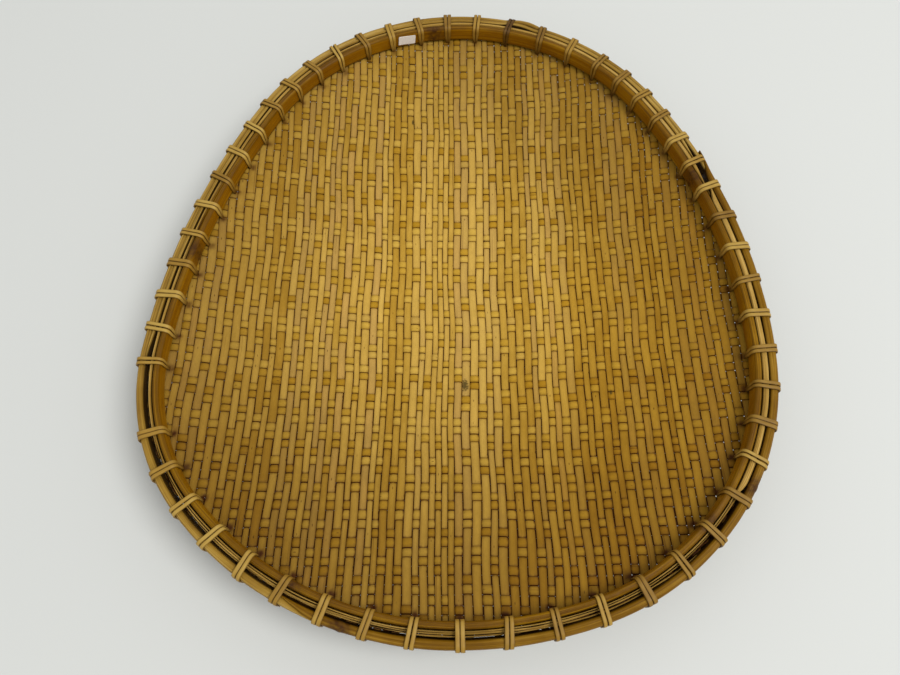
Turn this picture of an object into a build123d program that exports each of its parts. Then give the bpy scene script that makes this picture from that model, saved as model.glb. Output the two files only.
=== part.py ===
from build123d import *
import math
import os

# Winnowing basket: a shallow, egg-shaped bamboo tray with a bound rim.
# Millimetres, +Z up. The broad end is at -Y and the narrow end at +Y.
# Origin: middle of the footprint, on the surface that the basket rests on.
# "Along" is a length along the rim's outer edge, anticlockwise from the broad end.
# "Inset" is a distance in from that outer edge, square to it.

# Rim plan: arcs that run smoothly into each other, as (radius, degrees turned).
# The two open radii are worked out so that the last arc ends where the first starts.
RIM_ARCS = [(265, 18), (176, 70), (None, 34), (169, 120), (None, 24), (143, 47), (221, 47)]

# Heights of the rim and depth of the bowl.
HOOP_BOTTOM = 34.0
HOOP_TOP = 46.0
BELLY_OFFSET_Y = -35.0      # deepest point, from the middle of the rim
BELLY_FLAT = 0.15           # share of the bowl's width that lies flat on the ground
BOWL_RISE = 32.0            # underside of the mat, from the flat belly to the hoops
BOWL_POWER = 1.5            # how the bowl's wall steepens towards the rim
BOWL_LEVELS = 7

# The mat: two crossed layers of strips, turned up between the hoops.
MAT_INSET = 6.3
MAT_THICKNESS = 2.0
MAT_EDGE_TOP = 40.0

# Hoops: split bamboo bent edgewise, whose ends meet at the joints.
OUTER_HOOP_THICK = 6.0      # broad end and right side
OUTER_HOOP_THIN = 3.2       # narrow end and left side
INNER_HOOP_INSET = 10.2
RIM_WIDTH = 15.0
HOOP_TOP_ROUND = 1.5
HOOP_BOTTOM_ROUND = 0.8
OUTER_JOINTS = (440.0, 1276.0)
INNER_JOINT = 900.0
HOOP_END_GAP = 0.5

# Filler splints lie on the mat's edge, between the hoops.
# Each is (start along, end along, outer inset, inner inset).
FAR_FILLERS = [(460.0, 1240.0, 3.6, 6.7), (430.0, 1110.0, 7.0, 9.9)]
NEAR_FILLERS = [(205.0, 418.0, 6.4, 9.9), (1125.0, 1565.0, 7.6, 9.9)]
FILLER_BOTTOM = 40.5
FILLER_TOP = 45.2
FILLER_ROUND = 0.6

# Lashings: each is two turns of flat cane round the whole rim, through the mat.
# They are pulled tight one after another, at a pitch that drifts, with one place missed.
# Each stretch is (number of lashings, pitch).
FIRST_LASHING = 2.0
LASHING_STRETCHES = [(8, 27.5), (8, 25.5), (6, 23.0), (4, 27.2), (17, 24.1), (1, 50.0), (9, 26.5)]
CANE_WIDTH = 2.9
CANE_THICKNESS = 1.1
CANE_GAP = 0.3              # between the two turns
CANE_CLEARANCE = 0.15       # between the cane and the hoops
CANE_ROUND = 3.0
LASHING_BOTTOM = 28.0
HOLE_INSET = (14.0, 16.8)
HOLE_MARGIN = 0.4
HOLE_HEIGHT = (24.0, 40.0)

# Blank paper label stuck to the inner hoop's face at the narrow end.
LABEL_ALONG = 733.0
LABEL_WIDTH = 14.0
LABEL_HEIGHT = 8.4
LABEL_THICKNESS = 0.25
LABEL_GAP = 0.05
LABEL_MIDDLE = 40.2
LABEL_TILT = 6.0


def unit_step(heading, turn):
    """Where an arc of radius 1 ends, from its start: it leaves at heading and turns left."""
    before = math.radians(heading)
    after = math.radians(heading + turn)
    return math.sin(after) - math.sin(before), math.cos(before) - math.cos(after)


def closed_radii():
    """Every arc's radius, with the two open ones solved so that the rim closes."""
    heading = 0.0
    sum_x = 0.0
    sum_y = 0.0
    open_steps = []
    for radius, turn in RIM_ARCS:
        step_x, step_y = unit_step(heading, turn)
        if radius is None:
            open_steps.append((step_x, step_y))
        else:
            sum_x += radius * step_x
            sum_y += radius * step_y
        heading += turn
    (ax, ay), (bx, by) = open_steps
    spread = ax * by - ay * bx
    solved = [(sum_y * bx - sum_x * by) / spread, (sum_x * ay - sum_y * ax) / spread]
    return [solved.pop(0) if radius is None else radius for radius, turn in RIM_ARCS]


def rim_arcs():
    """The rim's outer edge, centred on its own box: (centre, radius, heading, turn, start along)."""
    arcs = []
    point = Vector(0, 0)
    heading = 0.0
    along = 0.0
    for radius, (_, turn) in zip(closed_radii(), RIM_ARCS):
        across = math.radians(heading)
        centre = point + Vector(-math.sin(across), math.cos(across)) * radius
        arcs.append((centre, radius, heading, turn, along))
        step_x, step_y = unit_step(heading, turn)
        point = point + Vector(step_x, step_y) * radius
        heading += turn
        along += radius * math.radians(turn)
    edges = [CenterArc(centre, radius, start - 90, turn) for centre, radius, start, turn, _ in arcs]
    middle = Curve(edges).bounding_box().center()
    return [(centre - middle, radius, start, turn, at) for centre, radius, start, turn, at in arcs], along


ARCS, RIM_LENGTH = rim_arcs()


def rim_edges(inset, start, end):
    """The line that runs at this inset, from start to end along the rim."""
    edges = []
    for lap in range(2):
        for centre, radius, heading, turn, along in ARCS:
            first = along + lap * RIM_LENGTH
            last = first + radius * math.radians(turn)
            low = max(start, first)
            high = min(end, last)
            if high - low > 1e-6:
                angle = heading - 90 + math.degrees((low - first) / radius)
                size = math.degrees((high - low) / radius)
                edges.append(CenterArc(centre, radius - inset, angle, size))
    return edges


def rim_loop(inset):
    """The whole closed line at this inset."""
    return Wire(rim_edges(inset, 0, RIM_LENGTH))


def rim_plane(along, inset=0.0):
    """A plane square to the rim: its X points in, its Y up and its Z along the rim."""
    along = along % RIM_LENGTH
    centre, radius, heading, turn, start = [arc for arc in ARCS if arc[4] <= along][-1]
    angle = math.radians(heading) + (along - start) / radius
    inwards = Vector(-math.sin(angle), math.cos(angle))
    forwards = Vector(math.cos(angle), math.sin(angle))
    origin = centre - inwards * (radius - inset)
    return Plane(origin=origin, x_dir=inwards, z_dir=forwards)


def raised(shape, height):
    return Pos(0, 0, height) * shape


def ring(outer_inset, inner_inset, bottom, top):
    """A closed upright band that follows the rim."""
    face = Face(rim_loop(outer_inset), [rim_loop(inner_inset)])
    return extrude(raised(face, bottom), amount=top - bottom, dir=(0, 0, 1))


def strip(start, end, outer_inset, inner_inset, bottom, top):
    """An upright band that follows the rim from start to end, cut square at both ends."""
    outer = rim_edges(outer_inset, start, end)
    inner = rim_edges(inner_inset, start, end)
    ends = [Line(outer[0] @ 0, inner[0] @ 0), Line(outer[-1] @ 1, inner[-1] @ 1)]
    face = make_face(outer + inner + ends)
    return extrude(raised(face, bottom), amount=top - bottom, dir=(0, 0, 1))


def long_edges(shape, which):
    """The curved edges of the lowest (0) or highest (-1) face."""
    face = shape.faces().sort_by(Axis.Z)[which]
    return face.edges().filter_by(GeomType.CIRCLE)


def hoop(start, end, outer_inset, inner_inset):
    """A bent bamboo strip from start to end along the rim, rounded along its edges."""
    bent = strip(start, end, outer_inset, inner_inset, HOOP_BOTTOM, HOOP_TOP)
    bent = fillet(long_edges(bent, -1), HOOP_TOP_ROUND)
    return fillet(long_edges(bent, 0), HOOP_BOTTOM_ROUND)


def outer_hoops():
    """Two lengths of bamboo, a thick one at the broad end and a thin one at the narrow end."""
    right, left = OUTER_JOINTS
    thick = hoop(left + HOOP_END_GAP, right + RIM_LENGTH, 0, OUTER_HOOP_THICK)
    thin = hoop(right + HOOP_END_GAP, left, 0, OUTER_HOOP_THIN)
    return thick.solid(), thin.solid()


def inner_hoop():
    return hoop(INNER_JOINT, INNER_JOINT + RIM_LENGTH - HOOP_END_GAP, INNER_HOOP_INSET, RIM_WIDTH).solid()


def filler_splint(start, end, outer_inset, inner_inset):
    """A flat splint between the hoops, from start to end along the rim."""
    splint = strip(start, end, outer_inset, inner_inset, FILLER_BOTTOM, FILLER_TOP)
    return fillet(long_edges(splint, -1), FILLER_ROUND)


def filler_group(splints):
    return Compound([filler_splint(*splint).solid() for splint in splints])


def bowl_height(share):
    """Height of the mat's underside, where share is 0 at the belly and 1 at the hoops."""
    flat = BELLY_FLAT ** BOWL_POWER
    return BOWL_RISE * (share ** BOWL_POWER - flat) / (1 - flat)


def bowl(inset, lift):
    """The solid under a bowl-shaped surface: the rim's line shrinks towards the belly."""
    loop = rim_loop(inset)
    sections = []
    for level in range(BOWL_LEVELS):
        share = BELLY_FLAT + (1 - BELLY_FLAT) * level / (BOWL_LEVELS - 1)
        height = bowl_height(share) + lift
        shift = BELLY_OFFSET_Y * (1 - share)
        sections.append(Face(Pos(0, shift, height) * loop.scale(share)))
    wall_bottom = BOWL_RISE + lift
    wall = extrude(raised(Face(rim_loop(inset)), wall_bottom), amount=MAT_EDGE_TOP - wall_bottom, dir=(0, 0, 1))
    return loft(sections) + wall


def lashing_hole(along):
    """The slit in the mat that both turns of a lashing pass through."""
    width = 2 * CANE_WIDTH + CANE_GAP + 2 * HOLE_MARGIN
    depth = HOLE_INSET[1] - HOLE_INSET[0]
    height = HOLE_HEIGHT[1] - HOLE_HEIGHT[0]
    middle = Pos(sum(HOLE_INSET) / 2, sum(HOLE_HEIGHT) / 2, 0)
    return rim_plane(along).location * middle * Box(depth, height, width)


def woven_mat(places):
    outside = bowl(MAT_INSET, 0)
    inside = bowl(MAT_INSET + MAT_THICKNESS, MAT_THICKNESS)
    headroom = extrude(raised(Face(rim_loop(MAT_INSET + MAT_THICKNESS)), MAT_EDGE_TOP), amount=1, dir=(0, 0, 1))
    return (outside - (inside + headroom) - [lashing_hole(along) for along in places]).solid()


def lashing_places():
    """Where each lashing sits along the rim."""
    places = []
    along = FIRST_LASHING
    for count, pitch in LASHING_STRETCHES:
        for _ in range(count):
            places.append(along)
            along += pitch
    return places


def lashing(along):
    """Two turns of cane side by side, each a closed band round the rim's section."""
    width = RIM_WIDTH + 2 * CANE_CLEARANCE
    height = HOOP_TOP + CANE_CLEARANCE - (LASHING_BOTTOM + CANE_THICKNESS)
    inner = RectangleRounded(width, height, CANE_ROUND - CANE_THICKNESS)
    outer = RectangleRounded(width + 2 * CANE_THICKNESS, height + 2 * CANE_THICKNESS, CANE_ROUND)
    section = Pos(RIM_WIDTH / 2, LASHING_BOTTOM + CANE_THICKNESS + height / 2) * (outer - inner)
    turns = []
    for side in (-1, 1):
        offset = side * (CANE_WIDTH + CANE_GAP) / 2
        plane = rim_plane(along + offset)
        turns.append(extrude(plane * section, amount=CANE_WIDTH / 2, both=True).solid())
    return Compound(turns)


def paper_label():
    """A thin curved rectangle on the inner hoop's face, a little tilted."""
    face = RIM_WIDTH + LABEL_GAP
    sheet = ring(face, face + LABEL_THICKNESS, HOOP_BOTTOM, HOOP_TOP)
    frame = rim_plane(LABEL_ALONG, face).location * Pos(0, LABEL_MIDDLE, 0) * Rot(LABEL_TILT, 0, 0)
    return (sheet & frame * Box(LABEL_WIDTH, LABEL_HEIGHT, LABEL_WIDTH)).solid()


def basket():
    """Every piece by name."""
    places = lashing_places()
    outer_near, outer_far = outer_hoops()
    pieces = {
        "woven_mat": woven_mat(places),
        "inner_hoop": inner_hoop(),
        "outer_hoop_near": outer_near,
        "outer_hoop_far": outer_far,
        "filler_splints_near": filler_group(NEAR_FILLERS),
        "filler_splints_far": filler_group(FAR_FILLERS),
        "paper_label": paper_label(),
    }
    for number, along in enumerate(places, start=1):
        pieces[f"lashing_{number:02d}"] = lashing(along)
    return pieces


def write_parts():
    """Centre the whole basket on its footprint and write one file per piece."""
    pieces = basket()
    middle = Compound(list(pieces.values())).bounding_box().center()
    os.makedirs("parts", exist_ok=True)
    for name, piece in pieces.items():
        export_step(Pos(-middle.X, -middle.Y, 0) * piece, f"parts/{name}.step")


write_parts()
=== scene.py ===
import math

import bpy
import bmesh
import numpy as np
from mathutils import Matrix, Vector


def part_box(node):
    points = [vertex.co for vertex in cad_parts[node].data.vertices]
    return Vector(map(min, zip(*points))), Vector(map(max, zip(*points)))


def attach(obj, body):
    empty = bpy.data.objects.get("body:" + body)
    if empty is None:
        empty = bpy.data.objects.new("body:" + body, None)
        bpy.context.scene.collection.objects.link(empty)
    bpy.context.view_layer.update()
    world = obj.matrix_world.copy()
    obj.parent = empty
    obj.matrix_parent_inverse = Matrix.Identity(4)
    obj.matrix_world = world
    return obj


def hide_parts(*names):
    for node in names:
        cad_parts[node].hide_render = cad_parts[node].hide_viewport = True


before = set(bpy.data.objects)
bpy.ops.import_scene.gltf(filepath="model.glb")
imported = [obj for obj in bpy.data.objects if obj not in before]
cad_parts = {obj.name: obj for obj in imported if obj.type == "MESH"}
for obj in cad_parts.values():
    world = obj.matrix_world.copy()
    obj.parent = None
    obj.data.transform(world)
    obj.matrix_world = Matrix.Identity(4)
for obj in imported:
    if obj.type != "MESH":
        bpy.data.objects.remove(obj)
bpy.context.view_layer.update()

# Winnowing basket. Metres, +Z up, broad end at -Y, narrow end at +Y.
# "Along" runs round the rim's outer edge, anticlockwise from the broad end.
# "Inset" is a distance in from that edge, square to it.

MM = 0.001

# ---------------------------------------------------------------- sizes of the basket

# The rim's plan: arcs as (radius, degrees turned); the open radii close the loop.
RIM_ARCS = [(265, 18), (176, 70), (None, 34), (169, 120), (None, 24), (143, 47), (221, 47)]

RIM_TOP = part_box("inner_hoop")[1].z
HOOP_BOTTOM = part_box("inner_hoop")[0].z
RIM_WIDTH = 15.0 * MM

# The bowl: the mat's middle surface, from its belly to the line where it turns up.
BELLY = (0.0, -35.0 * MM)
BOWL_RISE = 32.0 * MM
BOWL_SOFTNESS = 0.15
MAT_MIDDLE = 1.05 * MM
WALL_INSET = 7.3 * MM
TURN_START = 3.9 * MM           # how far inside the wall the mat begins to turn up
TURN_LENGTH = 7.0 * MM
WALL_LENGTH = 4.0 * MM
MAT_SPOKES = 480                # how finely the mat's form is divided, round and outwards
MAT_RINGS = 70

# The weave.
WARP_COUNT = 79
WARP_PITCH = 4.9 * MM
WEFT_COUNT = 81
WEFT_PITCH = 5.5 * MM
STRIP_THICKNESS = 0.95 * MM
LAYER_LIFT = 0.46 * MM          # each strip's middle, above or below the mat's middle
UNEVEN_WARPS = 0.21             # strips are split this much wider or narrower than the pitch
UNEVEN_WEFTS = 0.10
TWILL_REPEAT = 7
STRIP_SEGMENTS = 380

# Dark stains on the weave: (x, y, radius), in metres.
STAINS = [(0.005, -0.0655, 0.0036), (-0.034, 0.144, 0.0016), (0.1015, -0.074, 0.0015)]

# Lashings, in millimetres: the first one's place, then (number, pitch) for each stretch of the rim.
FIRST_LASHING = 2.0
LASHING_STRETCHES = [(8, 27.5), (8, 25.5), (6, 23.0), (4, 27.2), (17, 24.1), (1, 50.0), (9, 26.5)]
STAINED_LASHINGS = 632 * MM     # the two lashings either side of here have gone dark
HOLE_INSET = RIM_WIDTH + 1.2 * MM
HOLE_SIZE = 3.0 * MM            # how far the painted shade spreads round each lashing's hole

CRISP_ANGLE = 0.6               # radians: edges sharper than this stay crisp


# ---------------------------------------------------------------- the rim's line

def closed_radii():
    """Every arc's radius, with the two open ones solved so that the rim closes."""
    headings = np.radians(np.cumsum([0] + [turn for _, turn in RIM_ARCS]))
    steps = np.c_[np.diff(np.sin(headings)), -np.diff(np.cos(headings))]
    radii = np.array([radius or 0.0 for radius, _ in RIM_ARCS])
    unknown = [n for n, (radius, _) in enumerate(RIM_ARCS) if radius is None]
    radii[unknown] = np.linalg.solve(steps[unknown].T, -radii @ steps)
    return radii * MM


class Rim:
    """The line of the rim's outer edge, as a place and an inward direction for each length along it."""

    def __init__(self):
        radii = closed_radii()
        turns = np.radians([turn for _, turn in RIM_ARCS])
        self.starts = np.concatenate([[0], np.cumsum(radii * turns)])
        self.length = self.starts[-1]
        self.headings = np.concatenate([[0], np.cumsum(turns)])
        self.radii = radii
        corners = [np.zeros(2)]
        for radius, before, after in zip(radii, self.headings[:-1], self.headings[1:]):
            step = np.array([math.sin(after) - math.sin(before), math.cos(before) - math.cos(after)])
            corners.append(corners[-1] + radius * step)
        self.corners = np.array(corners)
        self.middle = np.zeros(2)
        line, _ = self.place(np.linspace(0, self.length, 4001))
        boxes = [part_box("outer_hoop_near"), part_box("outer_hoop_far")]
        low = np.min([np.array(box[0])[:2] for box in boxes], axis=0)
        high = np.max([np.array(box[1])[:2] for box in boxes], axis=0)
        self.middle = (line.min(0) + line.max(0)) / 2 - (low + high) / 2

    def place(self, along, inset=0.0):
        """Points at this inset, and the inward directions there."""
        along = np.asarray(along, float) % self.length
        arc = np.clip(np.searchsorted(self.starts, along, side="right") - 1, 0, len(self.radii) - 1)
        heading = self.headings[arc] + (along - self.starts[arc]) / self.radii[arc]
        inwards = np.stack([-np.sin(heading), np.cos(heading)], -1)
        before = self.headings[arc]
        turned = np.stack([np.sin(heading) - np.sin(before), np.cos(before) - np.cos(heading)], -1)
        point = self.corners[arc] + self.radii[arc][..., None] * turned - self.middle
        return point + inwards * np.asarray(inset)[..., None], inwards


rim = Rim()


# ---------------------------------------------------------------- writing node trees

class Field:
    """A value in a node tree, so that a formula reads as plain arithmetic."""

    def __init__(self, nodes, socket):
        self.nodes = nodes
        self.socket = socket

    def __add__(self, other):
        return self.nodes.maths("ADD", self, other)

    def __sub__(self, other):
        return self.nodes.maths("SUBTRACT", self, other)

    def __rsub__(self, other):
        return self.nodes.maths("SUBTRACT", other, self)

    def __mul__(self, other):
        return self.nodes.maths("MULTIPLY", self, other)

    def __truediv__(self, other):
        return self.nodes.maths("DIVIDE", self, other)

    def __pow__(self, other):
        return self.nodes.maths("POWER", self, other)

    def __mod__(self, other):
        return self.nodes.maths("FLOORED_MODULO", self, other)

    def __abs__(self):
        return self.nodes.maths("ABSOLUTE", self)

    def __neg__(self):
        return self.nodes.maths("MULTIPLY", self, -1)

    __radd__ = __add__
    __rmul__ = __mul__


class Nodes:
    """A geometry or shader tree that is being written."""

    def __init__(self, tree):
        self.tree = tree

    def add(self, kind, inputs=None, **settings):
        node = self.tree.nodes.new(kind)
        for name, value in settings.items():
            setattr(node, name, value)
        for key, value in (inputs or {}).items():
            self.join(value, self.socket(node.inputs, key))
        return node

    def socket(self, sockets, key):
        if isinstance(key, int):
            return sockets[key]
        return next(socket for socket in sockets if socket.name == key and socket.enabled)

    def join(self, value, socket):
        if isinstance(value, Field):
            self.tree.links.new(value.socket, socket)
        elif isinstance(value, bpy.types.NodeSocket):
            self.tree.links.new(value, socket)
        else:
            socket.default_value = value

    def field(self, node, output=0):
        return Field(self, self.socket(node.outputs, output))

    def maths(self, operation, *values):
        node = self.add("ShaderNodeMath", dict(enumerate(values)), operation=operation)
        return self.field(node)

    def smooth(self, value, low, high, start=0.0, end=1.0):
        """A smooth step from start to end, as value goes from low to high."""
        inputs = {"Value": value, "From Min": low, "From Max": high, "To Min": start, "To Max": end}
        return self.field(self.add("ShaderNodeMapRange", inputs, interpolation_type="SMOOTHSTEP"))

    def mix(self, share, first, second):
        return first + (second - first) * share

    def vector(self, x=0.0, y=0.0, z=0.0):
        return self.field(self.add("ShaderNodeCombineXYZ", {0: x, 1: y, 2: z}))

    def parts(self, vector):
        node = self.add("ShaderNodeSeparateXYZ", {0: vector})
        return [self.field(node, n) for n in range(3)]

    def vector_maths(self, operation, *values):
        node = self.add("ShaderNodeVectorMath", dict(enumerate(values)), operation=operation)
        return self.field(node)

    def measured(self, operation, *vectors):
        """A vector operation whose answer is one number, such as a length."""
        node = self.add("ShaderNodeVectorMath", dict(enumerate(vectors)), operation=operation)
        return Field(self, node.outputs["Value"])

    def scaled(self, vector, factor):
        node = self.add("ShaderNodeVectorMath", {0: vector, "Scale": factor}, operation="SCALE")
        return self.field(node)

    def noise(self, vector, scale=1.0, detail=1.0, roughness=0.5):
        """Smooth noise from about -1 to 1."""
        inputs = {"Vector": vector, "Scale": scale, "Detail": detail, "Roughness": roughness}
        return (self.field(self.add("ShaderNodeTexNoise", inputs)) - 0.5) * 3.0


class GeometryTree(Nodes):
    """A geometry tree with named inputs."""

    def __init__(self, name, **inputs):
        super().__init__(bpy.data.node_groups.new(name, "GeometryNodeTree"))
        for direction in ("INPUT", "OUTPUT"):
            self.tree.interface.new_socket("Geometry", in_out=direction, socket_type="NodeSocketGeometry")
        for label, kind in inputs.items():
            label = label.replace("_", " ")
            self.tree.interface.new_socket(label, in_out="INPUT", socket_type="NodeSocket" + kind)
        self.group_in = self.tree.nodes.new("NodeGroupInput")
        self.group_out = self.tree.nodes.new("NodeGroupOutput")

    def __getitem__(self, label):
        return self.field(self.group_in, label)

    def index(self):
        return self.field(self.add("GeometryNodeInputIndex"))

    def position(self):
        return self.field(self.add("GeometryNodeInputPosition"))

    def random(self, low, high, seed, ident=None):
        """A number for each strip or lashing, or for each piece of the domain."""
        inputs = {2: low, 3: high, "Seed": seed}
        if ident is not None:
            inputs["ID"] = ident
        return self.field(self.add("FunctionNodeRandomValue", inputs, data_type="FLOAT"), 1)

    def stored(self, geometry, name, value, domain="POINT", data_type="FLOAT"):
        inputs = {"Geometry": geometry, "Name": name, "Value": value}
        node = self.add("GeometryNodeStoreNamedAttribute", inputs, domain=domain, data_type=data_type)
        return self.field(node)

    def named(self, name, data_type="FLOAT"):
        node = self.add("GeometryNodeInputNamedAttribute", {"Name": name}, data_type=data_type)
        return self.field(node)

    def blank(self, sides, segments):
        """A straight closed bar, round in section, from 0 to 1 along Z."""
        inputs = {"Vertices": sides, "Side Segments": segments, "Radius": 1.0, "Depth": 1.0}
        bar = self.field(self.add("GeometryNodeMeshCylinder", inputs, fill_type="NGON"))
        x, y, z = self.parts(self.position())
        return self.stored(bar, "bar", self.vector(x, y, z + 0.5), data_type="FLOAT_VECTOR")

    def boxy(self, value, power):
        """Pushes a round section's side towards a rectangle's."""
        sign = self.maths("SIGN", value)
        return sign * (abs(value) ** power)

    def copies(self, bar, count):
        """One bar for each strip or lashing, still as instances."""
        line = self.field(self.add("GeometryNodeMeshLine", {"Count": count}))
        return self.field(self.add("GeometryNodeInstanceOnPoints", {"Points": line, "Instance": bar}))

    def placed(self, geometry, position):
        return self.field(self.add("GeometryNodeSetPosition", {"Geometry": geometry, "Position": position}))

    def end(self, geometry, helpers, material):
        """Realizes, drops the helper attributes, smooths, sets the material and ends the tree."""
        geometry = self.field(self.add("GeometryNodeRealizeInstances", {"Geometry": geometry}))
        for name in helpers:
            inputs = {"Geometry": geometry, "Name": name}
            geometry = self.field(self.add("GeometryNodeRemoveAttribute", inputs))
        geometry = self.field(self.add("GeometryNodeSetShadeSmooth", {"Geometry": geometry}))
        angle = self.field(self.add("GeometryNodeInputMeshEdgeAngle"))
        sharp = self.maths("GREATER_THAN", angle, CRISP_ANGLE)
        inputs = {"Geometry": geometry, "Selection": sharp, "Shade Smooth": False}
        geometry = self.field(self.add("GeometryNodeSetShadeSmooth", inputs, domain="EDGE"))
        inputs = {"Geometry": geometry, "Material": material}
        geometry = self.field(self.add("GeometryNodeSetMaterial", inputs))
        self.join(geometry, self.group_out.inputs[0])


def grown(name, tree, nodes, sizes, start=None):
    """Runs a tree with these sizes and keeps the result as one plain piece."""
    maker = bpy.data.objects.new(name + "_maker", start or bpy.data.meshes.new(name + "_start"))
    bpy.context.scene.collection.objects.link(maker)
    modifier = maker.modifiers.new("Made by", "NODES")
    modifier.node_group = tree.tree
    for socket in tree.tree.interface.items_tree:
        if socket.in_out == "INPUT" and socket.name in sizes:
            modifier[socket.identifier] = sizes[socket.name]
    depsgraph = bpy.context.evaluated_depsgraph_get()
    mesh = bpy.data.meshes.new_from_object(maker.evaluated_get(depsgraph), depsgraph=depsgraph)
    bpy.data.objects.remove(maker)
    kept(name, mesh, nodes)


def kept(name, mesh, nodes):
    """Makes a mesh a named piece on the basket's body, in place of these plain parts."""
    piece = bpy.data.objects.new(name, mesh)
    mesh.name = name
    bpy.context.scene.collection.objects.link(piece)
    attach(piece, "root")
    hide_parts(*nodes)
    return piece


# ---------------------------------------------------------------- materials

def colour(red, green, blue):
    """A colour given as on a paint chart, 0 to 255, as Blender's linear one."""
    def linear(value):
        value = value / 255
        return value / 12.92 if value <= 0.04045 else ((value + 0.055) / 1.055) ** 2.4
    return linear(red), linear(green), linear(blue), 1.0


class Finish(Nodes):
    """A material that is being written, with its one shader."""

    def __init__(self, name, roughness, specular):
        self.material = bpy.data.materials.new(name)
        self.material.use_nodes = True
        super().__init__(self.material.node_tree)
        self.shader = self.tree.nodes["Principled BSDF"]
        self.shader.inputs["Roughness"].default_value = roughness
        self.shader.inputs["Specular IOR Level"].default_value = specular

    def attribute(self, name, output="Fac"):
        return self.field(self.add("ShaderNodeAttribute", attribute_name=name), output)

    def place(self):
        return self.field(self.add("ShaderNodeTexCoord"), "Object")

    def ramp(self, value, *stops):
        """Colours at their places from 0 to 1."""
        node = self.add("ShaderNodeValToRGB", {0: value})
        while len(node.color_ramp.elements) < len(stops):
            node.color_ramp.elements.new(0.5)
        for element, (place, chart) in zip(node.color_ramp.elements, stops):
            element.position = place
            element.color = colour(*chart)
        return self.field(node)

    def blend(self, kind, share, first, second):
        node = self.add("ShaderNodeMix", data_type="RGBA", blend_type=kind)
        self.join(share, node.inputs[0])
        self.join(first, node.inputs[6])
        self.join(second, node.inputs[7])
        return self.field(node, 2)

    def bump(self, height, distance):
        node = self.add("ShaderNodeBump", {"Height": height, "Distance": distance, "Strength": 1.0})
        self.join(self.field(node), self.shader.inputs["Normal"])

    def coloured(self, base):
        self.join(base, self.shader.inputs["Base Color"])
        return self.material


def grain_coordinates(finish, across, along):
    """The piece's own grain map, stretched: x is across the strip, y along it, z its number."""
    x, y, z = finish.parts(finish.attribute("grain", "Vector"))
    apart = 7.3
    return finish.vector(x * across, y * along, z * apart)


def browned_and_shaded(finish, base):
    """Painted shade, partly real browning: the mat is darker towards its edge, most of all at the broad
    end, and warmer on the right.
    """
    x, y, _ = finish.parts(finish.place())
    half_width, half_length, centre = 0.185, 0.215, -0.005
    far_out = finish.measured("LENGTH", finish.vector(x / half_width, (y - centre) / half_length, 0.0))
    cloud = finish.noise(finish.place(), scale=9.0, detail=2.0) * 0.08
    edge = finish.smooth(far_out + cloud, 0.25, 1.0, 0.0, 0.32)
    broad_end = finish.smooth(-y + cloud * 0.1, 0.0, 0.20, 0.0, 0.36)
    left = finish.smooth(-x, 0.02, 0.17, 0.0, 0.24)
    right = finish.smooth(x + y * 0.7, 0.05, 0.2, 0.0, 0.27)
    # Painted shade, partly real browning, towards the edge, the broad end and the left and right.
    base = finish.blend("MULTIPLY", edge + broad_end + left + right, base, colour(156, 139, 40))
    warm = finish.smooth(x - y * 0.35, 0.02, 0.16, 0.0, 0.75)
    return finish.blend("MULTIPLY", warm, base, colour(240, 226, 120))


def woven_bamboo(name, tones):
    """Split strips: each its own tone, with fine fibres along it, painted shade at the crossings, and
    specks and stains.
    """
    finish = Finish(name, roughness=0.6, specular=0.12)
    place = finish.place()
    fibres = finish.noise(grain_coordinates(finish, 5200.0, 90.0), detail=3.0)
    clouds = finish.noise(place, scale=38.0, detail=2.0)
    patches = finish.noise(grain_coordinates(finish, 160.0, 60.0), detail=2.0)
    mottle = finish.noise(grain_coordinates(finish, 760.0, 360.0), detail=4.0, roughness=0.6)
    base = finish.ramp(finish.attribute("tone") + patches * 0.12, *tones)
    base = finish.scaled(base, 1.0 + fibres * 0.07 + clouds * 0.05 + patches * 0.08 + mottle * 0.1)
    # Darker towards the mat's edge: painted shade, partly real browning.
    base = browned_and_shaded(finish, base)
    # Painted shade in the strips' dips, sides, crossings and round the holes, stronger towards the broad
    # end.
    broad_end = finish.smooth(-finish.parts(place)[1], 0.02, 0.2, 1.0, 1.28)
    grime = finish.smooth(finish.attribute("grime") * broad_end, 0.08, 1.0)
    base = finish.blend("MULTIPLY", grime, base, colour(120, 84, 18))
    split = finish.noise(grain_coordinates(finish, 1300.0, 14.0), detail=1.0)
    base = finish.blend("MULTIPLY", finish.smooth(split, 0.62, 0.9, 0.0, 0.6), base, colour(140, 100, 40))
    cells = grain_coordinates(finish, 420.0, 160.0)
    speck = finish.add("ShaderNodeTexVoronoi", {"Vector": cells, "Scale": 1.0})
    dark = finish.smooth(finish.field(speck, "Distance"), 0.06, 0.2, 0.7, 0.0)
    chosen = finish.smooth(finish.parts(finish.field(speck, "Color"))[0], 0.8, 0.84)
    base = finish.blend("MULTIPLY", dark * chosen, base, colour(104, 70, 34))
    crumbs = finish.noise(place, scale=900.0, detail=3.0)
    for x, y, radius in STAINS:
        away = finish.vector_maths("MULTIPLY", place, (1.0, 0.45, 0.0))
        away = finish.measured("DISTANCE", away, (x, y * 0.45, 0.0))
        spread = away / radius + crumbs * 0.42
        stain = finish.smooth(spread, 0.3, 0.75, 0.85, 0.0)
        base = finish.blend("MIX", stain, base, colour(62, 50, 16))
    finish.bump(fibres, 0.00006)
    return finish.coloured(base)


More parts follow.
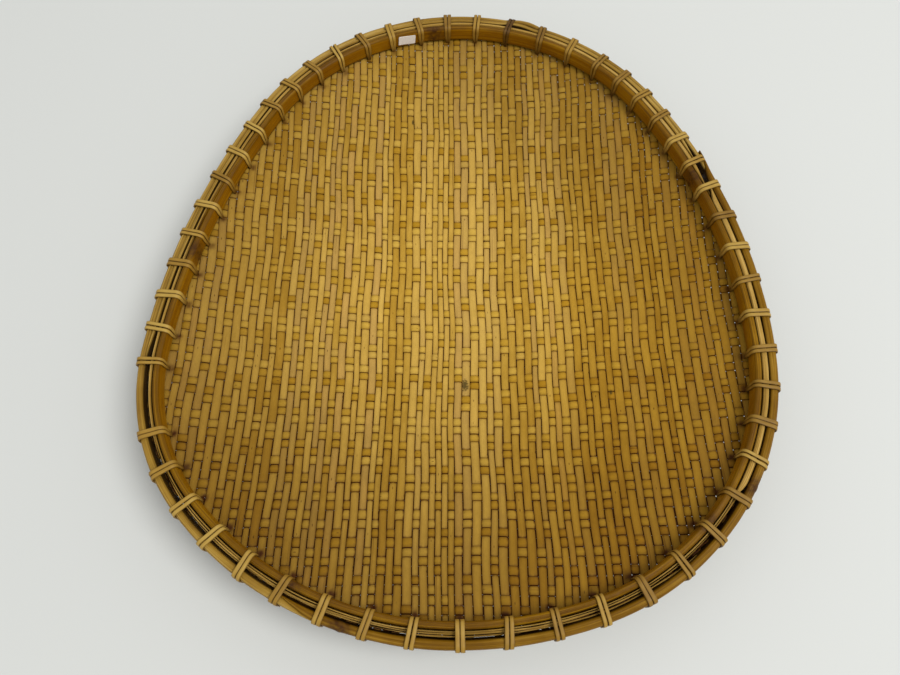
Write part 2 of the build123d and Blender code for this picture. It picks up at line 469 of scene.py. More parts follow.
def hoop_bamboo(name, tones, roughness, specular, streaks, skin=(0, 0, 0), slit=1.0):
    """Bent split bamboo: long streaks, dark worn patches, and a brown ring at each joint of the culm."""
    dark, middle, light = tones
    finish = Finish(name, roughness=roughness, specular=specular)
    fine = finish.noise(grain_coordinates(finish, 1300.0, 15.0), detail=4.0, roughness=0.65)
    broad = finish.noise(grain_coordinates(finish, 420.0, 8.0), detail=2.0)
    clouds = finish.noise(finish.place(), scale=24.0, detail=4.0, roughness=0.6)
    tone = 0.5 + fine * 0.26 * streaks + broad * 0.24 * streaks + clouds * 0.2
    base = finish.ramp(tone, (0.12, dark), (0.5, middle), (0.88, light))
    worn = finish.noise(grain_coordinates(finish, 900.0, 42.0), detail=3.0)
    worn = finish.smooth(worn, 0.5, 0.9, 0.0, 0.75)
    base = finish.blend("MULTIPLY", worn, base, colour(140, 110, 80))
    slits = finish.noise(grain_coordinates(finish, 620.0, 6.0), detail=3.0, roughness=0.7)
    slit_share = finish.smooth(slits, 0.25, 0.8, 0.0, 0.7 * slit)
    base = finish.blend("MULTIPLY", slit_share, base, colour(96, 62, 26))
    ridge_share = finish.smooth(-slits, 0.35, 0.9, 0.0, 0.4 * slit)
    base = finish.blend("SCREEN", ridge_share, base, colour(92, 70, 34))
    base = finish.blend("SCREEN", finish.attribute("skin"), base, colour(*skin))
    joint = finish.attribute("joint")
    blotch = finish.smooth(finish.noise(finish.place(), scale=420.0, detail=3.0), -0.9, 0.7, 0.35, 1.0)
    base = finish.blend("MIX", joint * blotch, base, colour(66, 38, 8))
    # Painted shade on the sides that face a neighbouring piece.
    base = finish.blend("MULTIPLY", finish.attribute("grime") * 0.9, base, colour(60, 36, 10))
    finish.bump(fine, 0.00016)
    return finish.coloured(base)


def cane(name):
    """Flat cane with a pale skin, faint streaks and dark stained places."""
    finish = Finish(name, roughness=0.42, specular=0.2)
    fine = finish.noise(grain_coordinates(finish, 2600.0, 60.0), detail=3.0)
    clouds = finish.noise(finish.place(), scale=130.0, detail=2.0)
    tone = finish.attribute("tone") + fine * 0.12 + clouds * 0.16
    base = finish.ramp(
        tone, (0.0, (84, 56, 14)), (0.3, (128, 94, 30)), (0.7, (160, 124, 48)), (1.0, (182, 150, 72)))
    # Painted shade along the strands' edges and where they gather at the hole.
    base = finish.blend("MULTIPLY", finish.attribute("grime"), base, colour(120, 92, 54))
    finish.bump(fine, 0.00008)
    return finish.coloured(base)


def paper(name):
    """Plain off-white paper, a little fibrous and unevenly faded."""
    finish = Finish(name, roughness=0.85, specular=0.2)
    cloud = finish.noise(finish.place(), scale=900.0, detail=3.0)
    base = finish.ramp(
        0.5 + cloud * 0.25, (0.1, (214, 208, 200)), (0.6, (234, 230, 225)), (1.0, (240, 238, 234)))
    finish.bump(cloud, 0.00003)
    return finish.coloured(base)


WARP_BAMBOO = woven_bamboo("warp_bamboo", [
    (0.0, (178, 136, 42)), (0.14, (186, 146, 54)), (0.4, (197, 158, 70)), (0.68, (204, 166, 78)),
    (0.84, (184, 147, 74)), (1.0, (194, 154, 78))])
WEFT_BAMBOO = woven_bamboo("weft_bamboo", [
    (0.0, (172, 128, 22)), (0.3, (184, 141, 36)), (0.6, (194, 154, 54)), (0.85, (203, 165, 70)),
    (1.0, (189, 152, 69))])
INNER_SKIN = hoop_bamboo(
    "inner_hoop_skin", [(72, 40, 0), (112, 75, 0), (164, 120, 10)], 0.36, 0.13, 1.1, (88, 50, 0), 0.45)
OUTER_BAMBOO = hoop_bamboo(
    "outer_hoop_bamboo", [(80, 46, 0), (120, 83, 2), (168, 128, 40)], 0.42, 0.12, 1.1)
FAR_BAMBOO = hoop_bamboo(
    "far_hoop_bamboo", [(100, 66, 6), (160, 124, 44), (202, 170, 94)], 0.45, 0.18, 1.2)
FILLER_CANE = hoop_bamboo(
    "filler_splint_bamboo", [(104, 70, 14), (172, 134, 58), (214, 180, 106)], 0.5, 0.15, 1.2)
LASHING_CANE = cane("lashing_cane")
LABEL_PAPER = paper("label_paper")


# ---------------------------------------------------------------- the mat's form

def bowl_height(share):
    """Height of the mat's middle, where share is 0 at the belly and 1 at the wall."""
    def curve(value):
        return (np.square(value) + BOWL_SOFTNESS ** 2) ** 0.75
    return MAT_MIDDLE + BOWL_RISE * (curve(share) - curve(0.0)) / (curve(1.0) - curve(0.0))


def mat_rings():
    """Rings of the mat from its belly outwards, as it lay flat and as it stands in the basket."""
    along = np.linspace(0, rim.length, MAT_SPOKES, endpoint=False)
    wall, inwards = rim.place(along, WALL_INSET)
    outwards = -inwards
    belly = np.array(BELLY)
    turn_line = wall + inwards * TURN_START
    reach = turn_line - belly
    full = np.linalg.norm(wall - belly, axis=1)
    width = np.linalg.norm(reach, axis=1)
    level = np.zeros(MAT_SPOKES)
    flat, formed = [], []

    # The bowl.
    for share in np.linspace(0, 1, MAT_RINGS + 1)[1:]:
        plan = belly + reach * share
        flat.append(np.c_[plan, level])
        formed.append(np.c_[plan, bowl_height(share * width / full)])

    # The turn up, which starts at the bowl's own slope and ends upright.
    small = 0.01
    edge_height = bowl_height(width / full)
    slope = np.arctan((edge_height - bowl_height(width / full - small)) / (small * full))
    bend = TURN_LENGTH / (math.pi / 2 - slope)
    turn_steps = 10
    for step in range(1, turn_steps + 1):
        done = TURN_LENGTH * step / turn_steps
        angle = slope + done / bend
        out = bend * (np.sin(angle) - np.sin(slope))
        up = bend * (np.cos(slope) - np.cos(angle))
        flat.append(np.c_[turn_line + outwards * done, level])
        formed.append(np.c_[turn_line + outwards * out[:, None], edge_height + up])

    # The wall between the hoops.
    wall_steps = 5
    for step in range(1, wall_steps + 1):
        done = WALL_LENGTH * step / wall_steps
        flat.append(np.c_[turn_line + outwards * (TURN_LENGTH + done), level])
        formed.append(formed[-1].copy())
        formed[-1][:, 2] += WALL_LENGTH / wall_steps
    return np.array(flat), np.array(formed)


def ring_faces(rings):
    """A fan of triangles round the belly, then bands of quads out to the mat's edge."""
    faces = [(0, 1 + n, 1 + (n + 1) % MAT_SPOKES) for n in range(MAT_SPOKES)]
    for ring in range(rings - 1):
        inner = 1 + ring * MAT_SPOKES
        outer = inner + MAT_SPOKES
        for n in range(MAT_SPOKES):
            after = (n + 1) % MAT_SPOKES
            faces.append((inner + n, outer + n, outer + after, inner + after))
    return faces


def mat_form():
    """The surface that the weave is pressed onto.

    Each vertex lies flat, where its bit of mat was before shaping. It carries the place and the
    upward direction that it has in the basket, and how near it is to a lashing's hole.
    """
    flat, formed = mat_rings()
    outward_step = np.gradient(formed, axis=0)
    round_step = np.roll(formed, -1, axis=1) - np.roll(formed, 1, axis=1)
    upward = np.cross(outward_step, round_step)
    upward /= np.linalg.norm(upward, axis=-1, keepdims=True)
    centre = [BELLY[0], BELLY[1], 0.0]
    mesh = bpy.data.meshes.new("mat_form")
    mesh.from_pydata([centre] + flat.reshape(-1, 3).tolist(), [], ring_faces(len(flat)))
    places = np.vstack([[BELLY[0], BELLY[1], float(bowl_height(0.0))], formed.reshape(-1, 3)])
    directions = np.vstack([[0, 0, 1], upward.reshape(-1, 3)])
    for name, values in (("formed", places), ("upward", directions)):
        mesh.attributes.new(name, "FLOAT_VECTOR", "POINT").data.foreach_set("vector", values.ravel())
    holes, _ = rim.place(np.array(lashing_places()), HOLE_INSET)
    away = np.linalg.norm(places[:, None, :2] - holes[None], axis=2).min(axis=1)
    nearness = np.exp(-np.square(away / HOLE_SIZE))
    mesh.attributes.new("hole", "FLOAT", "POINT").data.foreach_set("value", nearness)
    return mesh


# ---------------------------------------------------------------- woven strips

def spaced(t, counted, number, pitch, uneven, seed):
    """Where a place counted in strips lies across the mat, as the strips are split to uneven widths."""
    line = t.field(t.add("GeometryNodeMeshLine", {"Count": number + 1}))
    width = t.random(1.0 - uneven, uneven + 1.0, seed, t.index())
    sums = t.add("GeometryNodeAccumulateField", {"Value": width}, data_type="FLOAT", domain="POINT")
    edge = (t.field(sums, "Trailing") / t.field(sums, "Total") - 0.5) * (number + 1)
    shifted = counted + 0.5
    whole = t.maths("FLOOR", t.maths("MINIMUM", t.maths("MAXIMUM", shifted, 0.0), number - 0.5))
    sides = []
    for step in (0, 1):
        inputs = {"Geometry": line, "Value": edge, "Index": whole + step}
        sample = t.add("GeometryNodeSampleIndex", inputs, data_type="FLOAT", domain="POINT")
        sides.append(t.field(sample))
    return (t.mix(shifted - whole, *sides) + 0.5) * pitch


def side_place(t, counted):
    """Where this count of the strips lies, across them."""
    return spaced(t, counted, t["Number"], t["Pitch"], t["Uneven"], t["Width seed"])


def long_place(t, counted):
    """Where this count of the crossing strips lies, along a strip."""
    return spaced(
        t, counted, t["Cross number"], t["Cross pitch"], t["Cross uneven"], t["Cross width seed"])


def strip_ends(t, form, strip, crosswise):
    """Each strip's two ends, found on the mat's cut edge and then counted in crossing strips."""
    place = side_place(t, strip)
    cut_edge = t.add("FunctionNodeCompare", data_type="INT", operation="EQUAL")
    t.join(t.field(t.add("GeometryNodeInputMeshEdgeNeighbors")), cut_edge.inputs[2])
    cut_edge.inputs[3].default_value = 1
    fence_height = 20 * MM
    fence = t.add("GeometryNodeExtrudeMesh", {
        "Mesh": form, "Selection": t.field(cut_edge), "Offset": (0.0, 0.0, 1.0),
        "Offset Scale": fence_height}, mode="EDGES")
    middle = BELLY[0] if crosswise else BELLY[1] - 25 * MM
    level = fence_height / 2
    ends = []
    for side, seed in ((-1.0, 2), (1.0, 3)):
        start = t.vector(middle, place, level) if crosswise else t.vector(place, middle, level)
        heading = (side, 0.0, 0.0) if crosswise else (0.0, side, 0.0)
        ray = t.add("GeometryNodeRaycast", {
            "Target Geometry": t.field(fence), "Source Position": start, "Ray Direction": heading,
            "Ray Length": 1.0})
        cut = 0.6 * MM + t.random(0.0, 1.0, t["Seed"] + seed, strip) ** 2.0 * t["Ragged"]
        goal = (t.field(ray, "Hit Distance") - cut) * side + middle
        counted = goal / t["Cross pitch"] + (t["Cross number"] - 1) * 0.5
        for _ in range(2):
            counted = counted - (long_place(t, counted) - goal) / t["Cross pitch"]
        ends.append(counted)
    return ends


def over_under(t, cross, number, crosswise):
    """How far over its neighbours a strip is, from 0 to 1, and how high it arches between them.

    A warp passes over five wefts and under two. Its neighbour to the right does the same three
    wefts farther on. A weft therefore shows over two warps, with one hidden between them.
    """
    half = TWILL_REPEAT / 2
    if crosswise:
        phase = (cross - number * 5.0) % TWILL_REPEAT
        rises = []
        for centre in (0.0, 2.0):
            away = abs((phase - centre + half) % TWILL_REPEAT - half)
            rises.append(1.0 - t.smooth(away, 0.16, 0.80))
        over = t.maths("MAXIMUM", *rises)
        return over, over * 0.16 * MM
    phase = (cross - number * 3.0) % TWILL_REPEAT
    away = abs((phase - 0.5 + half) % TWILL_REPEAT - half)
    return t.smooth(away, 0.68, 1.34), t.smooth(away, 1.3, 3.2) * 0.14 * MM


def pressed(t, form, lay, height):
    """Where a point of the flat weave comes on the form, and how near it is to a lashing's hole.

    The whole weave first pulls a little this way and that.
    """
    pull = t.add("ShaderNodeTexNoise", {"Vector": lay, "Scale": 14.0, "Detail": 1.0})
    shift = t.vector_maths("SUBTRACT", t.field(pull, "Color"), (0.5, 0.5, 0.5))
    lay = t.vector_maths("ADD", lay, t.vector_maths("MULTIPLY", shift, (5 * MM, 5 * MM, 0.0)))

    def read(name, kind):
        inputs = {"Mesh": form, "Value": t.named(name, kind), "Sample Position": lay}
        return t.field(t.add("GeometryNodeSampleNearestSurface", inputs, data_type=kind))

    upward = t.vector_maths("NORMALIZE", read("upward", "FLOAT_VECTOR"))
    place = t.vector_maths("ADD", read("formed", "FLOAT_VECTOR"), t.scaled(upward, height))
    return place, read("hole", "FLOAT")


def gathered_painted_shade(t, over, upper, outermost, hole):
    """Painted shade lies in the dips, along the strips' sides, in the corners of crossings and at the
    holes.
    """
    shown = t.mix(upper, 1.0 - over, over)
    crossing = 1.0 - t.smooth(abs(shown - 0.34), 0.14, 0.5)
    grime = t.maths("MAXIMUM", (1.0 - shown) * 0.75, outermost ** 3.5 * 0.85)
    grime = t.maths("MAXIMUM", grime, crossing * outermost ** 1.4)
    return t.maths("MAXIMUM", grime, hole)


def strip_tree(name, crosswise):
    """Interlaced strips: warps run along Y and wefts, crosswise, along X."""
    t = GeometryTree(
        name, First="Int", Strips="Int", Number="Int", Pitch="Float", Uneven="Float", Width_seed="Int",
        Cross_number="Int", Cross_pitch="Float", Cross_uneven="Float", Cross_width_seed="Int",
        Thickness="Float", Lift="Float", Least_fill="Float", Most_fill="Float", Ragged="Float",
        Seed="Int", Material="Material")
    form = Field(t, t.group_in.outputs["Geometry"])
    strip = t.index() + t["First"]
    copies = t.copies(t.blank(8, STRIP_SEGMENTS), t["Strips"])
    begin, finish = strip_ends(t, form, strip, crosswise)
    values = {
        "strip": strip,
        "fill": t.random(t["Least fill"], t["Most fill"], t["Seed"] + 1, strip),
        "begin": begin,
        "finish": finish,
        "tone": t.random(0.0, 1.0, t["Seed"] + 4, strip),
    }
    for label, value in values.items():
        copies = t.stored(copies, label, value, domain="INSTANCE")
    bars = t.field(t.add("GeometryNodeRealizeInstances", {"Geometry": copies}))

    # The section: a thin rectangle with eased edges, and where it lies, counted in strips.
    across, through, share = t.parts(t.named("bar", "FLOAT_VECTOR"))
    outermost = t.smooth(abs(across), 0.0, 1.0)
    upper = t.smooth(through, -0.5, 0.5)
    across = t.boxy(across, 0.35) * 0.5
    through = t.boxy(through, 0.55) * 0.5 * t["Thickness"]
    cross = t.mix(share, t.named("begin"), t.named("finish"))
    number = t.named("strip")
    wander = t.noise(t.vector(cross * 0.16, number * 3.7, t["Seed"] + 0.0), detail=0.0) * 0.035
    breathing = t.noise(t.vector(cross * 0.22, number * 5.1, t["Seed"] + 9.0), detail=0.0) * 0.05
    along = long_place(t, cross)

    # Its place on the form. It narrows a little where it dives under.
    over, arch = over_under(t, cross, number, crosswise)
    height = (over * 2.0 - 1.0) * t["Lift"] + arch + through
    girth = t.named("fill") * (1.0 + breathing) * t.mix(over, 0.95, 1.0)
    sideways = side_place(t, number + wander + across * girth)
    lay = t.vector(along, sideways) if crosswise else t.vector(sideways, along)
    place, hole = pressed(t, form, lay, height)

    grain = t.vector(across * t["Pitch"], along, number + t["Seed"])
    bars = t.stored(bars, "grain", grain, data_type="FLOAT_VECTOR")
    # Painted shade: the dips, the strips' sides, the crossings' corners and round the lashings' holes.
    bars = t.stored(bars, "grime", gathered_painted_shade(t, over, upper, outermost, hole))
    bars = t.placed(bars, place)
    t.end(bars, ("bar", "strip", "fill", "begin", "finish"), t["Material"])
    return t


def weave_mat(form):
    """All the strips, in three pieces each way so that none is too heavy."""
    warps = (WARP_COUNT, WARP_PITCH, UNEVEN_WARPS, 71)
    wefts = (WEFT_COUNT, WEFT_PITCH, UNEVEN_WEFTS, 83)
    ways = [
        ("warp", strip_tree("warp weaving", False), warps, wefts, (0.915, 0.97), WARP_BAMBOO, 10,
         ("left", "middle", "right")),
        ("weft", strip_tree("weft weaving", True), wefts, warps, (0.965, 0.995), WEFT_BAMBOO, 30,
         ("near", "middle", "far")),
    ]
    for way, tree, own, other, fill, material, seed, sides in ways:
        bounds = np.linspace(0, own[0], len(sides) + 1).astype(int).tolist()
        for side, first, last in zip(sides, bounds[:-1], bounds[1:]):
            grown(f"{way}_strips_{side}", tree, ["woven_mat"], {
                "First": first, "Strips": last - first, "Number": own[0], "Pitch": own[1],
                "Uneven": own[2], "Width seed": own[3], "Cross number": other[0], "Cross pitch": other[1],
                "Cross uneven": other[2], "Cross width seed": other[3], "Thickness": STRIP_THICKNESS,
                "Lift": LAYER_LIFT, "Least fill": fill[0], "Most fill": fill[1], "Ragged": 4 * MM,
                "Seed": seed, "Material": material}, start=form)


# ---------------------------------------------------------------- the rim

def rim_line():
    """The rim's outer edge as a closed line of edges, which the rim's trees follow."""
    count = 1400
    points, _ = rim.place(np.linspace(0, rim.length, count, endpoint=False))
    edges = [(n, (n + 1) % count) for n in range(count)]
    mesh = bpy.data.meshes.new("rim_line")
    mesh.from_pydata(np.c_[points, np.zeros(count)].tolist(), edges, [])
    line = bpy.data.objects.new("rim_line", mesh)
    bpy.context.scene.collection.objects.link(line)
    return line


def round_the_rim(t, along, inset, height):
    """Where a point of the straightened rim lies in the basket."""
    info = t.add("GeometryNodeObjectInfo", {"Object": t["Rim"]})
    curve = t.field(t.add("GeometryNodeMeshToCurve", {"Mesh": t.field(info, "Geometry")}))
    inputs = {"Curves": curve, "Length": along % rim.length}
    sample = t.add("GeometryNodeSampleCurve", inputs, mode="LENGTH")
    x, y, _ = t.parts(t.field(sample, "Position"))
    forward_x, forward_y, _ = t.parts(t.field(sample, "Tangent"))
    return t.vector(x - forward_y * inset, y + forward_x * inset, height)


def hoop_tree():
    """A bent strip with uneven, fibrous faces, tapered ends and swellings at the joints of the culm."""
    t = GeometryTree(
        "hoop bending", Rim="Object", Start="Float", End="Float", Outer="Float", Inner="Float",
        End_outer="Float", End_inner="Float", Bottom="Float", Top="Float", Scarf="Float", Uneven="Float",
        Wander="Float", Flare="Float", Grimy_inside="Float", Grimy_outside="Float", First_joint="Float",
        Joint_spacing="Float", Joints="Float", Lifted_end="Float", Kink="Float", Kink_place="Float",
        Seed="Float", Material="Material")
    bar = t.blank(40, 460)
    inward, upward, share = t.parts(t.named("bar", "FLOAT_VECTOR"))
    along = t.mix(share, t["Start"], t["End"])
    inward = t.boxy(inward, 0.62)
    upward = t.boxy(upward, 0.42)

    # Faces: the outer one runs out to nothing at the start and the inner one at the end.
    outer = t.mix(share, t["Outer"], t["End outer"])
    inner = t.mix(share, t["Inner"], t["End inner"])
    begun = t.smooth(along, t["Start"], t["Start"] + t["Scarf"])
    ended = t.smooth(along, t["End"] - t["Scarf"], t["End"])
    thin = 0.12
    scarfed_outer = t.mix((1.0 - begun) * (1.0 - thin), outer, inner)
    scarfed_inner = t.mix(ended * (1.0 - thin), inner, outer)
    waves = []
    for number in range(4):
        wave = t.noise(t.vector(along * 26.0, t["Seed"] + 3.1 * number, 0.0), detail=1.5)
        waves.append(wave * t["Uneven"])
    sway = t.noise(t.vector(along * 11.0, t["Seed"] + 40.0, 0.0), detail=1.0) * t["Wander"]
    outer = scarfed_outer + waves[0] + sway
    inner = scarfed_inner + waves[1] + sway
    top = t["Top"] + waves[2] * 1.2 + sway * 0.5
    bottom = t["Bottom"] + waves[3]

    # Joints of the culm stand a little proud.
    half = t["Joint spacing"] * 0.5
    from_joint = abs((along - t["First joint"] + half) % t["Joint spacing"] - half)
    joint = (1.0 - t.smooth(from_joint, 0.4 * MM, 2.6 * MM)) * t["Joints"]
    swell = joint * 0.3 * MM
    inset = t.mix(inward * 0.5 + 0.5, outer - swell, inner + swell)
    height = t.mix(upward * 0.5 + 0.5, bottom - swell, top + swell)
    inset = inset + (0.5 + inward * 0.5) * (0.5 - upward * 0.5) * t["Flare"]

    # Fibres: long grooves, deepest on the top where the split bamboo is worn.
    groove = t.noise(t.vector(inset * 1500.0, height * 700.0, along * 11.0), detail=2.0)
    furrow = t.noise(t.vector(inset * 520.0, t["Seed"], along * 6.0), detail=1.0)
    fibres = (groove * 0.10 * MM + furrow * 0.26 * MM) * (t["Uneven"] / (0.2 * MM))
    height = height + t.smooth(upward, 0.2, 0.9) * (fibres - 0.15 * MM)
    inset = inset + inward * groove * 0.05 * MM

    # A loose end springs out, and a kinked place stands away from the rim.
    inset = inset - t.smooth(along, t["End"] - 22 * MM, t["End"]) * t["Lifted end"]
    kink = 1.0 - t.smooth(abs(along - t["Kink place"]), 2 * MM, 17 * MM)
    inset = inset - kink * t["Kink"]
    height = height + kink * t["Kink"] * 0.6
    mark = (1.0 - t.smooth(from_joint, 2 * MM, 11 * MM)) * t["Joints"]
    bar = t.stored(bar, "joint", mark)
    girth = inward * 5 * MM + upward * 11 * MM
    bar = t.stored(bar, "grain", t.vector(girth, along, t["Seed"]), data_type="FLOAT_VECTOR")
    # Painted shade on the sides that face a neighbouring hoop or splint, less on the top.
    inner_side = t.smooth(inward, 0.8, 0.97)
    outer_side = t.smooth(inward, -0.8, -0.97)
    shown = t.smooth(upward, 0.9, 1.0) * 0.6
    grime = t.maths("MAXIMUM", inner_side * t["Grimy inside"], outer_side * t["Grimy outside"])
    bar = t.stored(bar, "grime", grime * (1.0 - shown))
    bar = t.stored(bar, "skin", inner_side * (1.0 - t.smooth(upward, 0.86, 1.0)))
    bar = t.placed(bar, round_the_rim(t, along, inset, height))
    t.end(bar, ("bar",), t["Material"])
    return t


def bend_hoops(line):
    """Hoops and filler splints.

    Their numbers are in millimetres, in the labels' order, and then come the first joint of the culm
    and whether the joints show.
    """
    tree = hoop_tree()
    lap = rim.length / MM
    top = RIM_TOP / MM
    bottom = HOOP_BOTTOM / MM
    splint_bottom = 36
    pieces = [
        ("inner_hoop_bent", "inner_hoop", INNER_SKIN, "inner_bamboo",
         (862, 862 + lap + 120, 10.4, 15.0, 10.4, 15.0, bottom, top, 120, 0.2, 0.0, 0, 0, 0), 998, 1),
        ("outer_hoop_near_bent", "outer_hoop_near", OUTER_BAMBOO, "outer_bamboo",
         (1262 - lap, 456, 0.15, 5.4, 0.15, 5.6, bottom, top, 30, 0.24, 0.0, 1.2, 0, 0), 205, 1),
        ("outer_hoop_far_bent", "outer_hoop_far", FAR_BAMBOO, "outer_bamboo",
         (424, 1290, 0.15, 2.9, 0.15, 5.2, bottom, top - 1.2, 28, 0.2, 0.0, 0, 1.6, 635), 715, 0),
        ("filler_splint_right", "filler_splints_near", FILLER_CANE, "filler_splint",
         (188, 430, 6.2, 10.2, 6.1, 10.1, splint_bottom, top - 0.4, 18, 0.3, 0.2, 0, 0, 0), 0, 0),
        ("filler_splint_near_outer", "filler_splints_near", FILLER_CANE, "filler_splint",
         (1190, 150 + lap, 6.6, 7.5, 6.4, 7.3, splint_bottom, top - 3.0, 30, 0.6, 0.7, 0, 0, 0), 0, 0),
        ("filler_splint_near_middle", "filler_splints_near", FILLER_CANE, "filler_splint",
         (1150, 235 + lap, 7.6, 8.7, 7.9, 9.0, splint_bottom, top - 1.9, 30, 0.55, 0.7, 0, 0, 0), 0, 0),
        ("filler_splint_near_inner", "filler_splints_near", FILLER_CANE, "filler_splint",
         (1105, 216 + lap, 9.0, 9.9, 9.1, 9.9, splint_bottom, top - 1.3, 20, 0.2, 0.25, 0, 0, 0), 0, 0),
        ("filler_splint_far_outer", "filler_splints_far", FAR_BAMBOO, "filler_splint",
         (448, 1085, 3.3, 6.7, 4.6, 6.9, splint_bottom, top - 0.4, 30, 0.2, 0.2, 0, 1.0, 640), 0, 0),
        ("filler_splint_far_inner", "filler_splints_far", FILLER_CANE, "filler_splint",
         (420, 1150, 7.0, 10.0, 8.4, 9.9, splint_bottom, top - 0.6, 30, 0.2, 0.2, 0, 0, 0), 0, 0),
    ]
    labels = ("Start", "End", "Outer", "Inner", "End outer", "End inner", "Bottom", "Top", "Scarf",
              "Uneven", "Wander", "Lifted end", "Kink", "Kink place")
    for seed, (name, node, material, slot, sizes, first_joint, joints) in enumerate(pieces):
        inputs = {label: size * MM for label, size in zip(labels, sizes)}
        inputs.update({
            "Rim": line, "First joint": first_joint * MM, "Joint spacing": 270 * MM,
            "Joints": float(joints), "Flare": 1.5 * MM if slot == "outer_bamboo" else 0.0,
            # Painted shade on the sides that meet a neighbour: the inner hoop's outside, the outer hoops'
            # inside, both sides of a splint.
            "Grimy inside": float(slot != "inner_bamboo"), "Grimy outside": float(slot != "outer_bamboo"),
            "Seed": 10.0 + 7.7 * seed, "Material": material})
        grown(name, tree, [node], inputs)


def lashing_places():
    """How far along the rim each lashing is."""
    places = []
    along = FIRST_LASHING
    for count, pitch in LASHING_STRETCHES:
        for _ in range(count):
            places.append(along * MM)
            along += pitch
    return places


def lashing_tree():
    """Flat cane, wound twice round the rim's section at each place and drawn into one hole in the mat."""
    t = GeometryTree(
        "cane lashing", Rim="Object", Width="Float", Thickness="Float", Turns="Float", Low="Float",
        Rise="Float", High="Float", Round="Float", Lean="Float", Seed="Int", Material="Material")
    points = Field(t, t.group_in.outputs["Geometry"])
    bar = t.blank(10, 132)
    copies = t.field(t.add("GeometryNodeInstanceOnPoints", {"Points": points, "Instance": bar}))
    number = t.index()
    place = t.parts(t.position())[0]
    stained = 1.0 - t.smooth(abs(place - STAINED_LASHINGS), 18 * MM, 26 * MM)
    values = {
        "lean": t.random(-1.0, 1.0, t["Seed"], number) * t["Lean"],
        "tone": t.random(0.3, 0.95, t["Seed"] + 1, number) - stained * 0.55,
        "stretch": t.random(0.86, 1.08, t["Seed"] + 2, number),
        "number": number,
        "along": place,
    }
    for label, value in values.items():
        copies = t.stored(copies, label, value, domain="INSTANCE")
    bars = t.field(t.add("GeometryNodeRealizeInstances", {"Geometry": copies}))

    # The section that the cane is wound round, starting under the hoops.
    height = t["High"] - t["Low"]
    middle = (t["High"] + t["Low"]) * 0.5
    width = RIM_WIDTH + 1.1 * MM
    box = t.add("GeometryNodeCurvePrimitiveQuadrilateral", {"Width": width, "Height": height})
    inputs = {"Curve": t.field(box), "Count": 7, "Radius": t["Round"]}
    loop = t.add("GeometryNodeFilletCurve", inputs, mode="POLY")
    across, through, share = t.parts(t.named("bar", "FLOAT_VECTOR"))
    rim_side = t.smooth(abs(across), 0.25, 1.0)
    across = t.boxy(across, 0.5) * 0.5
    through = t.boxy(through, 0.6) * 0.5 * t["Thickness"]
    turn = share * t["Turns"]
    under = 0.7
    inputs = {"Curves": t.field(loop), "Factor": (turn + under) % 1.0}
    sample = t.add("GeometryNodeSampleCurve", inputs, mode="FACTOR")
    x, y, _ = t.parts(t.field(sample, "Position"))
    forward_x, forward_y, _ = t.parts(t.field(sample, "Tangent"))
    away = t.maths("SIGN", forward_y * x - forward_x * y)
    out_x = forward_y * away
    out_y = -(forward_x * away)
    inset = x + RIM_WIDTH * 0.5 + out_x * through
    rise = t.smooth(-y, 0.0, height * 0.5) * (0.5 - x / RIM_WIDTH) * t["Rise"]
    up = y + middle + out_y * through + rise

    # The turns lie side by side, lean a little, and come together at the hole.
    inner_side = t.smooth(x, 4 * MM, 7.5 * MM)
    gather = inner_side * (1.0 - t.smooth(up, t["Low"] + 1 * MM, t["Low"] + 13 * MM))
    apart = (t.smooth(turn, 0.86, 1.14) - 0.5) * t["Width"] * 1.12
    lean = t.named("lean") * (x / RIM_WIDTH) * 2.0
    wobble = t.noise(t.vector(turn * 2.2, t.named("number") * 3.3, 0.0), detail=0.0) * 0.3 * MM
    along = t.named("along") + (apart + wobble) * (1.0 - gather * 0.62) + lean
    along = along + across * t["Width"] * t.named("stretch") * (1.0 - gather * 0.45)
    grain = t.vector(across * t["Width"], turn * 80 * MM, t.named("number"))
    bars = t.stored(bars, "grain", grain, data_type="FLOAT_VECTOR")
    # Painted shade along each strand's edges and where the turns gather into the hole.
    bars = t.stored(bars, "grime", t.maths("MAXIMUM", rim_side * 0.65, gather * 0.95))
    bars = t.placed(bars, round_the_rim(t, along, inset, up))
    t.end(bars, ("bar", "lean", "stretch", "number", "along"), t["Material"])
    return t


def bind_rim(line):
    """Every lashing, on a row of points whose x is its place along the rim."""
    row = bpy.data.meshes.new("lashing_places")
    row.from_pydata([(place, 0.0, 0.0) for place in lashing_places()], [], [])
    nodes = sorted(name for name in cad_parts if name.startswith("lashing_"))
    grown("cane_lashings", lashing_tree(), nodes, {
        "Rim": line, "Width": 2.6 * MM, "Thickness": 0.95 * MM, "Turns": 2.0, "Low": 29.2 * MM,
        "Rise": 3.6 * MM, "High": RIM_TOP + 0.65 * MM, "Round": 3.2 * MM, "Lean": 1.1 * MM, "Seed": 5,
        "Material": LASHING_CANE}, start=row)


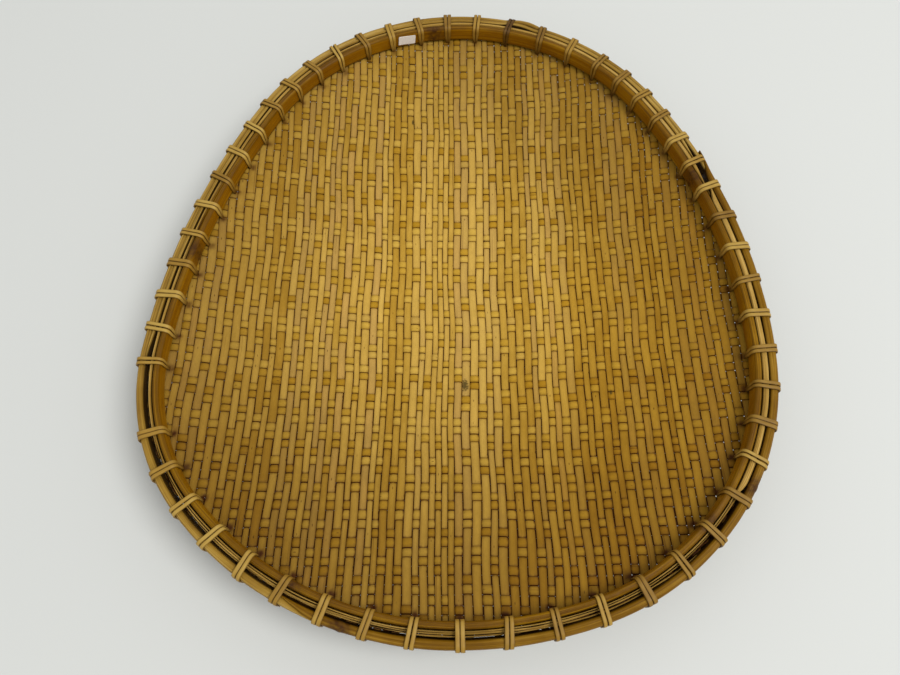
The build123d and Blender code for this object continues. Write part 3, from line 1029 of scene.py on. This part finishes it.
def stick_label():
    """A small blank paper label on the inner hoop's face, with rounded corners and a curled edge."""
    low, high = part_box("paper_label")
    middle = (low + high) / 2
    candidates = np.linspace(0, rim.length, 2000)
    points, _ = rim.place(candidates, RIM_WIDTH)
    label_along = candidates[np.argmin(np.linalg.norm(points - np.array(middle)[:2], axis=1))]
    width, height, corner, tilt = 13.6 * MM, 8.0 * MM, 0.9 * MM, math.radians(6)
    narrow_end_radius = 169 * MM
    edge_per_face = 1.0 / (1.0 - RIM_WIDTH / narrow_end_radius)
    columns, rows = 28, 20
    mesh = bpy.data.meshes.new("paper_label")
    shape = bmesh.new()
    grid = []
    for row in range(rows + 1):
        line = []
        for column in range(columns + 1):
            u = (column / columns - 0.5) * width
            v = (row / rows - 0.5) * height
            over_u = max(0.0, abs(u) - (width / 2 - corner))
            over_v = max(0.0, abs(v) - (height / 2 - corner))
            reach = math.hypot(over_u, over_v)
            if reach > corner:
                u -= math.copysign(over_u * (1 - corner / reach), u)
                v -= math.copysign(over_v * (1 - corner / reach), v)
            curl = 0.25 * MM * max(0.0, u / (width / 2)) ** 4
            side = u * math.cos(tilt) - v * math.sin(tilt)
            up = u * math.sin(tilt) + v * math.cos(tilt)
            place, _ = rim.place(label_along + side * edge_per_face, RIM_WIDTH + 0.25 * MM + curl)
            line.append(shape.verts.new((place[0], place[1], middle.z + up)))
        grid.append(line)
    for row in range(rows):
        for column in range(columns):
            shape.faces.new((grid[row][column], grid[row + 1][column],
                             grid[row + 1][column + 1], grid[row][column + 1]))
    bmesh.ops.recalc_face_normals(shape, faces=shape.faces)
    shape.to_mesh(mesh)
    shape.free()
    mesh.materials.append(LABEL_PAPER)
    mesh.shade_smooth()
    label = kept("blank_paper_label", mesh, ["paper_label"])
    sheet = label.modifiers.new("Paper", "SOLIDIFY")
    sheet.thickness = 0.15 * MM
    sheet.offset = 0.0


# ---------------------------------------------------------------- setting

def set_camera():
    camera = bpy.data.objects.new("camera", bpy.data.cameras.new("camera"))
    bpy.context.scene.collection.objects.link(camera)
    camera.data.lens = 28.0
    camera.data.sensor_width = 36.0
    camera.location = (-0.0052, -0.2218, 0.456)
    camera.rotation_euler = (math.radians(23.0), 0.0, 0.0)
    bpy.context.scene.camera = camera


def set_floor():
    mesh = bpy.data.meshes.new("floor")
    reach = 3.0
    corners = [(-reach, -reach, 0), (reach, -reach, 0), (reach, reach, 0), (-reach, reach, 0)]
    mesh.from_pydata(corners, [], [(0, 1, 2, 3)])
    floor = bpy.data.objects.new("floor", mesh)
    bpy.context.scene.collection.objects.link(floor)
    finish = Finish("pale_floor", roughness=0.8, specular=0.2)
    mesh.materials.append(finish.coloured(colour(211, 213, 210)))


def area_light(name, place, target, size, power, tint):
    light = bpy.data.lights.new(name, "AREA")
    light.shape = "DISK"
    light.size = size
    light.energy = power
    light.color = tint
    lamp = bpy.data.objects.new(name, light)
    lamp.location = place
    lamp.rotation_euler = (Vector(target) - Vector(place)).to_track_quat("-Z", "Y").to_euler()
    bpy.context.scene.collection.objects.link(lamp)


def set_light():
    world = bpy.data.worlds.new("soft_room")
    world.use_nodes = True
    world.node_tree.nodes["Background"].inputs["Color"].default_value = (1.0, 1.0, 0.99, 1.0)
    world.node_tree.nodes["Background"].inputs["Strength"].default_value = 0.64
    bpy.context.scene.world = world
    area_light("window", (1.6, -0.55, 2.8), (0, 0, 0), 1.6, 65.0, (1.0, 0.995, 0.985))
    scene = bpy.context.scene
    scene.view_settings.view_transform = "Standard"
    scene.view_settings.look = "None"


# ---------------------------------------------------------------- making the basket

set_camera()
set_floor()
set_light()
weave_mat(mat_form())
edge_line = rim_line()
bend_hoops(edge_line)
bind_rim(edge_line)
bpy.data.objects.remove(edge_line)
stick_label()
